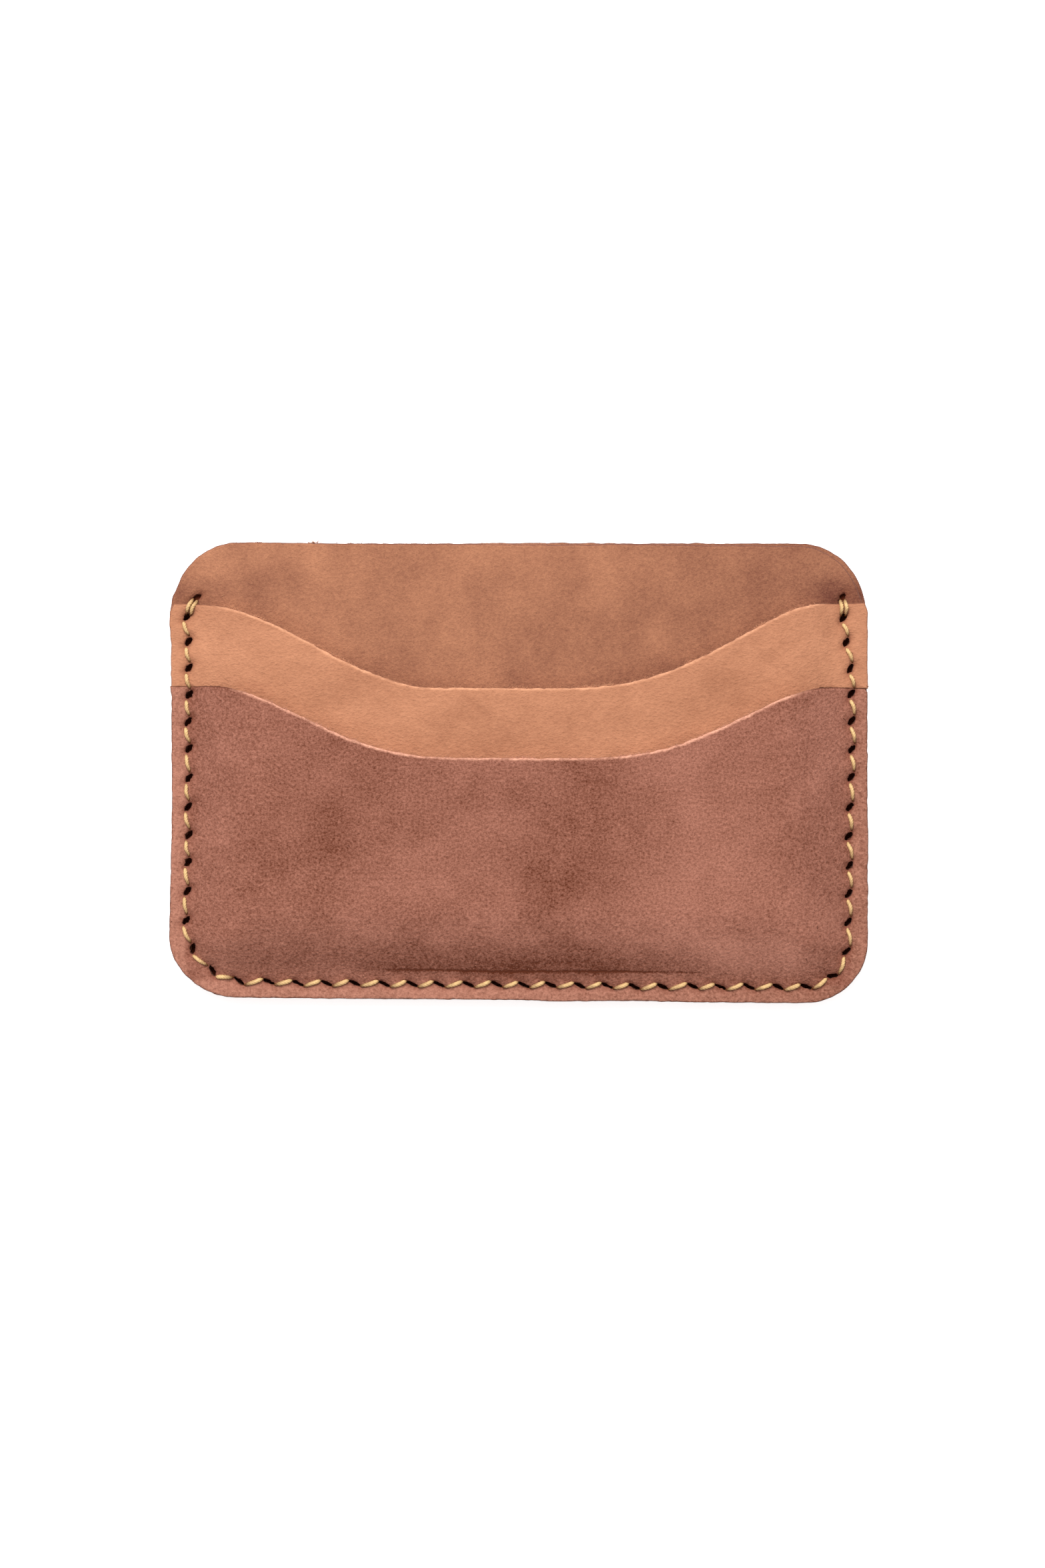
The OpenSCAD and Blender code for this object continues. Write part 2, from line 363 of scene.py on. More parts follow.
def middle_outline():
    """The T of the middle pocket. Its tabs reach just under the front pocket's shoulders."""
    body, r, low = BODY_HALF, BODY_CORNER, BODY_BOTTOM
    quarter = np.pi / 2
    bottom = (arc(-body + r, low + r, r, np.pi, np.pi + quarter)
              + arc(body - r, low + r, r, -quarter, 0))
    right = [(body, TAB_FOOT), (HALF_W - 0.05, TAB_FOOT),
             (HALF_W - 0.05, MIDDLE_SHOULDER - 1.6), (HALF_W - 0.45, MIDDLE_SHOULDER - 0.2)]
    left = [(-HALF_W + 0.45, MIDDLE_SHOULDER - 0.3), (-HALF_W - 0.05, MIDDLE_SHOULDER - 1.4),
            (-HALF_W - 0.05, TAB_FOOT), (-body, TAB_FOOT)]
    return bottom + right + mouth_points(MIDDLE_MOUTH, MIDDLE_MOUTH_HALF) + left


def resampled(points, step=OUTLINE_STEP):
    """Even points along a closed line, keeping its corners."""
    out = []
    for i, p in enumerate(points):
        q = points[(i + 1) % len(points)]
        gap = math.dist(p, q)
        if gap < 1e-6:
            continue
        for t in np.arange(0, 1, 1 / max(1, round(gap / step))):
            out.append((p[0] + (q[0] - p[0]) * t, p[1] + (q[1] - p[1]) * t))
    return np.array(out)


def hand_cut(points, seed, amount=0.05):
    """The line moved in and out by up to about that amount, as no knife runs quite true."""
    x, up = points[:, 0], points[:, 1]
    ahead = np.roll(points, -1, 0) - np.roll(points, 1, 0)
    normal = np.column_stack([ahead[:, 1], -ahead[:, 0]])
    normal /= np.linalg.norm(normal, axis=1)[:, None]
    off = amount * (1.6 * field(x, up, 9, seed) + 0.8 * field(x, up, 1.7, seed + 1)
                    + 0.9 * field(x, up, 0.7, seed + 2))
    return points + normal * off[:, None]


def inset(points, amount):
    """The line moved in by that amount, which may vary along it. The line runs anticlockwise."""
    before, after = points - np.roll(points, 1, 0), np.roll(points, -1, 0) - points
    before /= np.linalg.norm(before, axis=1)[:, None]
    after /= np.linalg.norm(after, axis=1)[:, None]
    turn_in = np.column_stack([-(before + after)[:, 1], (before + after)[:, 0]])
    turn_in /= np.linalg.norm(turn_in, axis=1)[:, None]
    cosine = np.clip(np.sum(turn_in * np.column_stack([-after[:, 1], after[:, 0]]), 1), 0.6, 1)
    return points + turn_in * (np.asarray(amount) / cosine)[:, None]


def slit_outline(hole):
    """A pointed slit with slightly torn sides."""
    d = slant(hole)
    across = np.array([-d[1], d[0]])
    ring = []
    side = abs(math.sin(hole[2]))
    half_length, half_width = HOLE_HALF_LENGTH - 0.22 * side, HOLE_HALF_WIDTH + 0.12 * side
    for a in np.linspace(0, 2 * np.pi, 16, endpoint=False):
        length = half_length * math.cos(a) * (1 + 0.06 * rng.standard_normal())
        width = half_width * math.sin(a) * (1 + 0.18 * rng.standard_normal())
        ring.append(hole[:2] + d * length + across * width)
    return np.array(ring)


def inside(points, polygon):
    """True for each point that lies inside the polygon."""
    x, y = points[:, 0], points[:, 1]
    result = np.zeros(len(points), bool)
    for (x0, y0), (x1, y1) in zip(polygon, np.roll(polygon, -1, 0)):
        crosses = (y0 > y) != (y1 > y)
        with np.errstate(divide="ignore", invalid="ignore"):
            at = x0 + (y - y0) * (x1 - x0) / (y1 - y0)
        result ^= crosses & (x < at)
    return result


def settled(x, up):
    """The whole holder is a little out of true: its bottom edge runs down to the right, its
    lower left corner bulges, its left tab stands out, it narrows above that tab, and its top
    edge stands a little higher than the CAD's."""
    low = 1 - smooth(up, 0, HEIGHT)
    corner = 0.42 * smooth(-x, 34, 47) * smooth(up, 0, 6) * (1 - smooth(up, 7, 24))
    tab = 0.3 * smooth(-x, 40, 48) * bell(up - 53.5, 2.5)
    narrow = 0.2 * smooth(-x, 30, 48) * smooth(up, 56, 58.5)
    raised = 0.34 * smooth(up, 58, 62)
    return x - corner - tab + narrow, up + low * (-0.15 - 0.44 * x / HALF_W) + raised


# --- Building a panel ---

def hex_points(low, high, step):
    """A slightly shaken honeycomb of points that covers a box."""
    rows = np.arange(low[1], high[1], step * math.sqrt(3) / 2)
    out = []
    for i, y in enumerate(rows):
        xs = np.arange(low[0] + (i % 2) * step / 2, high[0], step)
        out.append(np.column_stack([xs, np.full(len(xs), y)]))
    points = np.concatenate(out)
    return points + step * 0.12 * rng.uniform(-1, 1, points.shape)


def near_line(points, line, reach):
    """True for each point less than that far from a point of the line."""
    best = np.full(len(points), 99.0)
    for p in line:
        best = np.minimum(best, np.hypot(points[:, 0] - p[0], points[:, 1] - p[1]))
    return best < reach


def crease_points():
    """Rows of points that carry the fine crease above the bottom seam."""
    x = np.arange(*CREASE_X, 0.3)
    return np.concatenate([np.column_stack([x, crease_up(x) + off])
                           for off in (-0.3, -0.13, 0, 0.13, 0.3)])


def near_crease(points, x_low, x_high):
    x, up = points.T
    return (np.abs(up - crease_up(x)) < 0.45) & (x > x_low) & (x < x_high)


def near_seam(points):
    """True where the leather is sewn, dimpled and meshed finely."""
    return near_line(points, SEAM[::12], FINE_BY_SEAM) & (edge_distance(*points.T) < FINE_BY_EDGE)


def fill_points(rim, slits, extra):
    """Points inside the rim and outside the slits: a grid, a collar along the rim, and extras."""
    low, high = rim.min(0), rim.max(0)
    points = hex_points(low, high, GRID)
    fine = hex_points(low, high, FINE_GRID)
    points = np.concatenate([points[~near_seam(points)], fine[near_seam(fine)]])
    points = points[inside(points, rim)]
    points = points[~near_line(points, rim, 0.42)]
    if len(extra):
        points = points[~near_crease(points, extra[:, 0].min(), extra[:, 0].max())]
    collar = inset(rim, 0.17)
    collar = collar[inside(collar, rim) & ~near_line(collar, rim, 0.12)]
    points = np.concatenate([points, collar, extra])
    for slit in slits:
        centre = slit.mean(0)
        close = np.hypot(*(points - centre).T) < SLIT_REACH
        if close.any():
            wide = centre + (slit - centre) * 1.18
            bad = np.zeros(len(points), bool)
            bad[close] = inside(points[close], wide)
            points = points[~bad]
    return points


def triangulated(rim, slits, filling):
    """The sheet from above: points, triangles, and where each given point went."""
    loops, start = [], 0
    for ring in [rim] + slits:
        n = len(ring)
        loops += [(start + i, start + (i + 1) % n) for i in range(n)]
        start += n
    points = np.concatenate([rim] + slits + [filling])
    verts, _, faces, origins, _, _ = delaunay_2d_cdt(
        [tuple(p) for p in points], loops, [], 1, 1e-6, True)
    index = {}
    for new, old in enumerate(origins):
        for o in old:
            index[o] = new
    flat = np.array([tuple(v) for v in verts])
    faces = np.array([f for f in faces if len(f) == 3])
    middle = flat[faces].mean(1)
    keep = inside(middle, rim)
    for slit in slits:
        close = np.hypot(*(middle - slit.mean(0)).T) < SLIT_REACH
        hit = np.zeros(len(middle), bool)
        hit[close] = inside(middle[close], slit)
        keep &= ~hit
    faces = faces[keep]
    a, b, c = flat[faces[:, 0]], flat[faces[:, 1]], flat[faces[:, 2]]
    turn = (b - a)[:, 0] * (c - a)[:, 1] - (b - a)[:, 1] * (c - a)[:, 0]
    faces[turn < 0] = faces[turn < 0][:, ::-1]
    return flat, faces, index


class Build:
    """Vertices, faces and each vertex's marks (tone, cut and hole), gathered for one mesh."""

    def __init__(self):
        self.points, self.faces, self.marks, self.count = [], [], [], 0

    def add(self, points, marks):
        first = self.count
        self.points.append(np.asarray(points, float))
        self.marks.append(np.broadcast_to(np.asarray(marks, float), (len(points), 3)))
        self.count += len(points)
        return first

    def strip(self, lower, upper):
        n = len(lower)
        for i in range(n):
            j = (i + 1) % n
            self.faces.append((lower[i], lower[j], upper[j], upper[i]))

    def mesh(self, name):
        points = np.concatenate(self.points)
        x, up = settled(points[:, 0], points[:, 1])
        place = np.column_stack([x, up - HEIGHT / 2, points[:, 2]]) * MM
        data = bpy.data.meshes.new(name)
        data.from_pydata([tuple(p) for p in place], [], self.faces)
        marks = np.concatenate(self.marks)
        for i, title in enumerate(("tone", "cut", "hole")):
            layer = data.attributes.new(title, "FLOAT", "POINT")
            layer.data.foreach_set("value", marks[:, i].astype(np.float32))
        data.validate()
        data.shade_smooth()
        piece = bpy.data.objects.new(name, data)
        bpy.context.scene.collection.objects.link(piece)
        return piece


def panel(outline, holes, under, tone, seed, rough_mouth=None, groove=False, creased=False,
          thickness=full_thickness):
    """A sheet of leather: both faces, a worn cut edge all round and a slit for every hole.
    A groove takes the stitches on its back, and a crease runs above the bottom seam."""
    build = Build()
    edge = hand_cut(resampled(outline), seed)
    raw = np.zeros(len(edge)) if rough_mouth is None else rough_mouth(edge[:, 0], edge[:, 1])
    rounding = EDGE_ROUND + (MOUTH_ROUND - EDGE_ROUND) * raw
    rim = inset(edge, rounding)
    slits = [slit_outline(h) for h in holes]
    extra = crease_points() if creased else np.zeros((0, 2))
    flat, faces, index = triangulated(rim, slits, fill_points(rim, slits, extra))
    x, up = flat[:, 0], flat[:, 1]
    base = under(x, up)
    swell = 0.07 * layered(x, up, 13, seed + 5) * smooth(edge_distance(x, up), 3, 9)
    top = base + thickness(x, up) + swell - dimples(x, up)
    bottom = base + swell
    by_slit = slit_depth(x, up)
    # The top face is painted darker round the slits: painted shade at the holes.
    shade_by_slit = SLIT_SHADE * by_slit
    if creased:
        top = top - 0.07 * crease(x, up)
    if groove:
        bottom = base + GROOVE_DEPTH * bell(seam_distance(x, up), 0.85)
        top = base + LEATHER
        # The rear panel's face is painted dark under the slits above it: painted shade at the
        # bottom of the holes.
        shade_by_slit = smooth(by_slit, 0.3, 0.6)
    marks = np.column_stack([tone(x, up), 0 * x, 0 * x])
    rim_ids = np.array([index[i] for i in range(len(rim))])
    # Pale cut colour along the mouths: the raw leather, and partly a painted highlight.
    marks[rim_ids, 1] = 0.75 * raw * (0.65 + 0.35 * field(rim[:, 0], rim[:, 1], 0.9, seed + 7))
    top_marks = np.column_stack([marks[:, :2], shade_by_slit])
    start, slit_ids = len(rim), []
    for slit in slits:
        ids = np.array([index[start + i] for i in range(len(slit))])
        # painted shade: the slit rims take the dark hole colour
        marks[ids, 2] = 0.5
        top_marks[ids, 2] = 0.6
        slit_ids.append(ids)
        start += len(slit)
    if creased:
        top_marks[:, 1] = np.maximum(marks[:, 1], 0.13 * rim_share(x, up))
    top_first = build.add(np.column_stack([x, up, top]), top_marks)
    bottom_first = build.add(np.column_stack([x, up, bottom]), marks)
    build.faces += [tuple(int(v) + top_first for v in f) for f in faces]
    build.faces += [tuple(int(v) + bottom_first for v in f[::-1]) for f in faces]
    add_edge(build, edge, rim, rim_ids, top, bottom, top_first, bottom_first, raw, tone, seed)
    for slit, ids in zip(slits, slit_ids):
        add_slit(build, slit, ids, top, bottom, top_first, bottom_first)
    return build


def add_edge(build, edge, rim, rim_ids, top, bottom, top_first, bottom_first, raw, tone, seed):
    """The cut edge, rounded from the bottom face out and up to the top face."""
    n = len(edge)
    x, up = edge.T
    level_bottom = bottom[rim_ids]
    tall = top[rim_ids] - level_bottom
    away = (edge - rim) / np.linalg.norm(edge - rim, axis=1)[:, None]
    fuzz = 0.05 * field(x, up, 0.45, seed + 8)
    wave = 0.02 * field(x, up, 0.6, seed + 9)
    # Painted shade: the cut sides are painted darker, save along the mouths, where the pale cut
    # colour is partly painted highlight.
    marks = np.column_stack([tone(x, up) - 1.2 * (1 - raw), 0.05 + 0.95 * raw, np.zeros(n)])
    previous = [int(v) + bottom_first for v in rim_ids]
    for share, out in ((0.06, 0.72), (0.24, 0.98), (0.5, 1.0), (0.74, 0.92), (0.93, 0.6)):
        ring = rim + (edge - rim) * out
        ring = ring + away * (fuzz * (0.5 + raw))[:, None]
        z = level_bottom + tall * (share + wave)
        first = build.add(np.column_stack([ring, z]), marks)
        current = list(range(first, first + n))
        build.strip(previous, current)
        previous = current
    build.strip(previous, [int(v) + top_first for v in rim_ids])


def add_slit(build, slit, ids, top, bottom, top_first, bottom_first):
    """The walls of a slit, from the top face down to the bottom face, painted dark: painted shade
    inside the slit.
    """
    n = len(slit)
    centre = slit.mean(0)
    previous = [int(v) + top_first for v in ids]
    for share in (0.8, 0.2):
        ring = centre + (slit - centre) * 0.96
        z = bottom[ids] + (top[ids] - bottom[ids]) * share
        first = build.add(np.column_stack([ring, z]), (-1.0, 0.0, 1.0))
        current = list(range(first, first + n))
        build.strip(previous, current)
        previous = current
    build.strip(previous, [int(v) + bottom_first for v in ids])


def add_fibre(build, root, direction, length, thick, tone, cut):
    """One loose fibre: a closed, bent, three-sided spike."""
    direction = direction / np.linalg.norm(direction)
    side = np.cross(direction, [0, 0, 1])
    side /= np.linalg.norm(side)
    over = np.cross(side, direction)
    bend = side * rng.uniform(-0.35, 0.35) + over * rng.uniform(-0.1, 0.3)
    rings = []
    for t, r in ((-0.15, 1.0), (0.35, 0.9), (0.75, 0.55)):
        centre = root + direction * length * t + bend * length * max(t, 0) ** 2
        ring = [centre + thick * r * (side * math.cos(a) + over * math.sin(a))
                for a in (0, 2.1, 4.2)]
        rings.append(build.add(ring, (tone, cut, 0)))
    tip = build.add([root + direction * length + bend * length], (tone, cut, 0))
    for a, b in zip(rings, rings[1:]):
        build.strip([a, a + 1, a + 2], [b, b + 1, b + 2])
    build.faces.append((rings[0] + 2, rings[0] + 1, rings[0]))
    last = rings[-1]
    build.faces += [(last, last + 1, tip), (last + 1, last + 2, tip), (last + 2, last, tip)]


def add_fringe(build, outline, where, under, per_mm, longest, cut, tone):
    """Loose fibres standing out of a cut edge in clumps, where where() says so."""
    points = resampled(outline, 0.1)
    ahead = np.roll(points, -1, 0) - np.roll(points, 1, 0)
    out = np.column_stack([ahead[:, 1], -ahead[:, 0]])
    chosen = np.flatnonzero(where(points[:, 0], points[:, 1]) > 0.5)
    clumps = smooth(field(points[chosen, 0], points[chosen, 1], 1.9, 77), -0.2, 0.9)
    clumps = clumps ** 2 + 0.04
    count = int(len(chosen) * 0.1 * per_mm)
    for i in rng.choice(chosen, count, p=clumps / clumps.sum()):
        heading = np.append(out[i] / np.linalg.norm(out[i]), rng.uniform(-0.3, 0.5))
        heading[:2] += 0.9 * rng.standard_normal(2)
        level = under(points[i:i + 1, 0], points[i:i + 1, 1])[0]
        root = np.array([*points[i], level + LEATHER * rng.uniform(0.35, 0.85)])
        add_fibre(build, root, heading, longest * rng.uniform(0.3, 1) ** 1.5 + 0.15,
                  rng.uniform(0.02, 0.04), tone + rng.uniform(-0.2, 0.3), cut)


def add_flecks(build, count, lowest):
    """Crumbs, nicks and loose fibres lying on the face, above that height up the holder."""
    face = build.points[0]
    face = face[face[:, 1] > lowest]
    for i in rng.choice(len(face), count):
        turn = rng.uniform(0, 2 * np.pi)
        heading = np.array([math.cos(turn), math.sin(turn), 0.02])
        light = rng.uniform() < 0.65
        add_fibre(build, face[i] + np.array([0, 0, 0.01]), heading, rng.uniform(0.15, 0.55),
                  rng.uniform(0.03, 0.06), 1.0 if light else -1.6, 0.5 if light else 0.0)


# --- Tones of the leather: -1 is darkest and 1 lightest ---

def crease_up(x):
    """Where the front pocket folds over the bottom edges of the panels behind it."""
    return CREASE_UP + 0.12 * field(x, 0 * x, 9, 91) + 0.03 * field(x, 0 * x, 1.5, 92)


def crease(x, up):
    ends = smooth(x, -23, -12) * (1 - smooth(x, 20, 28))
    return ends * bell(up - crease_up(x), 0.13) * (0.75 + 0.25 * field(x, 0 * x, 1.1, 93))


def blotch(x, up, cx, cu, rx, ru):
    """1 in an uneven patch about (cx, cu), falling softly to 0 past its radii."""
    wobble = 0.35 * layered(x, up, 7, 31)
    r = np.hypot((x - cx) / rx, (up - cu) / ru) + wobble
    return 1 - smooth(r, 0.45, 1.25)


def panel_tone(x, up):
    tone = 0.06 + 0.35 * layered(x, up, 14, 41) + 0.18 * layered(x, up, 4, 45)
    tone = tone - 0.4 * smooth(x, -5, 30) + 0.15 * smooth(x, 38, 48)
    tone = tone + 0.42 * blotch(x, up, 25, 51, 8, 5) + 0.3 * blotch(x, up, 24, 61, 11, 5)
    # Painted shadow: darker above the middle pocket's left mouth and just above both of its
    # shoulders.
    tone = tone - 0.3 * blotch(x, up, -36, 57.5, 8, 3.5)
    for side in (-1, 1):
        tone = tone - 0.55 * blotch(x, up, side * 45, 57.2, 5, 2.4)
    return tone - 0.35 * smooth(-edge_distance(x, up), -3, 0) * smooth(up, 54, 58)


def middle_tone(x, up):
    tone = 0.1 + 0.22 * layered(x, up * 1.6, 12, 51) + 0.12 * layered(x, up * 2.2, 3.5, 55)
    tone = tone + 0.3 * blotch(x, up, -2, 46, 20, 2.5) - 0.2 * blotch(x, up, -2, 38, 18, 3.5)
    tone = tone - 0.2 * blotch(x, up, -28, 44, 15, 4) - 0.15 * blotch(x, up, 28, 43, 15, 4)
    return tone + 0.1 * smooth(np.abs(x), 36, 46)


def rim_share(x, up):
    """1 outside the stitch line and 0 inside it."""
    return smooth(seam_distance(x, up), -0.4, 0.4)


def front_tone(x, up):
    tone = 0.08 + 0.3 * layered(x, up, 15, 61) + 0.22 * layered(x, up, 5, 65)
    tone = tone - 0.3 * blotch(x, up, 5, 20, 7.5, 9)
    tone = tone - 0.3 * blotch(x, up, 2.5, 15, 3, 6)
    tone = tone - 0.16 * blotch(x, up, -16, 24, 4, 5)
    tone = tone - 0.15 * blotch(x, up, -30, 26, 8, 9)
    tone = tone - 0.2 * blotch(x, up, -4, 29, 7, 3)
    tone = tone + 0.26 * blotch(x, up, 26, 13, 18, 8)
    # Painted light and shade low on the front: the patch low on the right is painted lighter
    # against the shade of the slope, and the band just above the bottom seam is painted shade on
    # the slope that faces away from the light.
    tone = tone + 0.35 * blotch(x, up, 32, 6.5, 8, 3)
    tone = tone - 0.4 * blotch(x, up, -4, 5.8, 34, 2.8)
    tone = tone - 0.35 * blotch(x, up, 0, 4.6, 20, 1.6)
    # Painted shade in the crease where the front folds over the panels behind.
    tone = tone - 1.7 * crease(x, up)
    # The rim outside the stitches is lighter, less so on the right: painted light on the bottom
    # rim, which faces the light, and a paler tone along the sides.
    rim = rim_share(x, up)
    return tone + rim * (0.36 - tone * 0.7 - 0.45 * smooth(x, -10, 30))


# --- Thread ---

def spline(points, count):
    """A smooth line through the points."""
    p = np.vstack([2 * points[0] - points[1], points, 2 * points[-1] - points[-2]])
    out = []
    spans = len(points) - 1
    for t in np.linspace(0, spans, count):
        i = min(int(t), spans - 1)
        u = t - i
        a, b, c, d = p[i], p[i + 1], p[i + 2], p[i + 3]
        out.append(0.5 * ((2 * b) + (c - a) * u + (2 * a - 5 * b + 4 * c - d) * u ** 2
                          + (3 * b - a - 3 * c + d) * u ** 3))
    return np.array(out)


def add_ply(build, line, across, thickness, phase, pitch, face, tone):
    """One ply of a twisted strand: a tube that winds round the strand's line."""
    step = np.concatenate([[0], np.cumsum(np.linalg.norm(np.diff(line, axis=0), axis=1))])
    tangent = np.gradient(line, axis=0)
    tangent /= np.linalg.norm(tangent, axis=1)[:, None]
    normal = np.cross(across, tangent)
    normal /= np.linalg.norm(normal, axis=1)[:, None]
    turn = phase + 2 * np.pi * step / pitch
    rings = []
    for i in range(len(line)):
        r = thickness[i]
        wound = math.cos(turn[i]) * normal[i] + math.sin(turn[i]) * across
        centre = line[i] + PLY_OUT * r * wound
        ring = np.array([centre + PLY_R * r * (math.cos(a) * normal[i] + math.sin(a) * across)
                         for a in np.linspace(0, 2 * np.pi, PLY_SIDES, endpoint=False)])
        # Painted light and shade: each ply is painted lighter on its top and darker underneath.
        height = (ring[:, 2] - line[i][2]) / r * face
        marks = np.column_stack([0.6 * height + tone[i], 0 * height, 0 * height])
        rings.append(build.add(ring, marks))
    for a, b in zip(rings, rings[1:]):
        build.strip(list(range(a, a + PLY_SIDES)), list(range(b, b + PLY_SIDES)))
    build.faces.append(tuple(range(rings[0] + PLY_SIDES - 1, rings[0] - 1, -1)))
    build.faces.append(tuple(range(rings[-1], rings[-1] + PLY_SIDES)))


def add_strand(build, start, end, level_start, level_end, middle_z, face, radius):
    """One stitch: out of its hole, over the leather and down into the next hole.
    face is 1 on the front and -1 on the back."""
    a, b = np.array([*start, 0.0]), np.array([*end, 0.0])
    along = (b - a) / np.linalg.norm(b - a)
    across = np.array([-along[1], along[0], 0])
    gap = np.linalg.norm(b - a)
    steep = abs(along[1])
    sag = 0.02 * rng.standard_normal() - 0.12 * steep
    lift, deep = face * 0.2, face * 0.75
    mid = face * max(face * level_start, face * level_end) + face * 0.27
    up = np.array([0, 0, 1.0])
    points = np.array([
        a + up * middle_z,
        a + up * (level_start - deep),
        a + along * 0.05 + up * (level_start - lift),
        a + along * (0.16 * gap) + up * (level_start + lift),
        a + along * (0.5 * gap) + across * sag + up * mid,
        a + along * (0.84 * gap) + up * (level_end + lift),
        b - along * 0.05 + up * (level_end - lift),
        b + up * (level_end - deep),
        b + up * middle_z])
    line = spline(points, 34)
    share = np.linspace(0, 1, len(line))
    tail = np.clip((share - 0.25) / 0.5, 0, 1)
    if start[1] < end[1]:
        tail = 1 - tail
    plump = (0.52 - 0.1 * steep) * smooth(tail, 0, 0.3)
    thickness = radius * (0.5 + plump * (1 - smooth(tail, 0.5, 1)))
    # Painted shade: the strand is darker towards its lower end, at its other end, and where it
    # sinks into the holes.
    sunk_shade = smooth(np.abs(line[:, 2] - mid), 0.1, 0.7)
    tone = 0.45 - 2.1 * smooth(tail, 0.35, 0.95)
    tone = tone - 0.7 * (1 - smooth(tail, -0.1, 0.12)) - 1.4 * sunk_shade
    phase = rng.uniform(0, 2 * np.pi)
    for j in range(3):
        add_ply(build, line, across, thickness, phase + 2 * np.pi * j / 3, TWIST_PITCH, face, tone)


def strand_place(hole, ahead, out):
    """A place by a hole, so far along the seam and so far out to its outer side."""
    heading = np.array([math.cos(hole[2]), math.sin(hole[2])])
    return hole[:2] + heading * ahead + np.array([heading[1], -heading[0]]) * out


def strand_ends(holes, k):
    """Where the front stitch from hole k to the next leaves, by its outer end, and enters."""
    side = abs(math.sin(holes[k + 1][2]))
    return (strand_place(holes[k], STRAND_AHEAD, STRAND_OUT),
            strand_place(holes[k + 1], -STRAND_AHEAD, -STRAND_OUT * (1 - 0.7 * side)))


def back_strand_ends(holes, k):
    """The same on the back, where the stitches slant the other way."""
    return (strand_place(holes[k], STRAND_AHEAD * 0.8, -STRAND_OUT * 0.8),
            strand_place(holes[k + 1], -STRAND_AHEAD * 0.8, STRAND_OUT * 0.8))


def add_doubled(build, start, end, level, first):
    """The outermost stitch: two strands side by side, over the pocket's edge and down behind it."""
    along = (end - start) / np.linalg.norm(end - start)
    across = np.array([-along[1], along[0]])
    low = level - 0.35 * LEATHER
    for shift in (-DOUBLE_APART, DOUBLE_APART):
        a, b = start + along * 0.3 + across * shift, end - along * 0.3 + across * shift
        add_strand(build, a, b, low if first else level, level if first else low,
                   STACK_Z / 2, 1, THREAD_R)


def seam_thread():
    build = Build()
    last = len(SEAM_HOLES) - 2
    level = STACK_Z - 0.12
    for k in range(last + 1):
        if k in (0, last):
            add_doubled(build, SEAM_HOLES[k][:2], SEAM_HOLES[k + 1][:2], level, k == 0)
        else:
            start, end = strand_ends(SEAM_HOLES, k)
            radius = THREAD_R * rng.uniform(0.95, 1.05)
            add_strand(build, start, end, level, level, STACK_Z / 2, 1, radius)
        start, end = back_strand_ends(SEAM_HOLES, k)
        add_strand(build, start, end, GROOVE_DEPTH, GROOVE_DEPTH, STACK_Z / 2, -1,
                   THREAD_R * BACK_SHARE)
    return build


def pocket_thread():
    build = Build()
    top = float(middle_under(0.0, POCKET_SEAM_UP)) + LEATHER
    under = float(centre_under(0.0, POCKET_SEAM_UP))
    back = under + 0.1
    for k in range(POCKET_STITCHES):
        add_strand(build, *strand_ends(POCKET_HOLES, k), top, top, (top + under) / 2, 1,
                   POCKET_THREAD_R)
        add_strand(build, *back_strand_ends(POCKET_HOLES, k), back, back, (top + under) / 2, -1,
                   POCKET_BACK_R)
    return build


# --- Materials ---

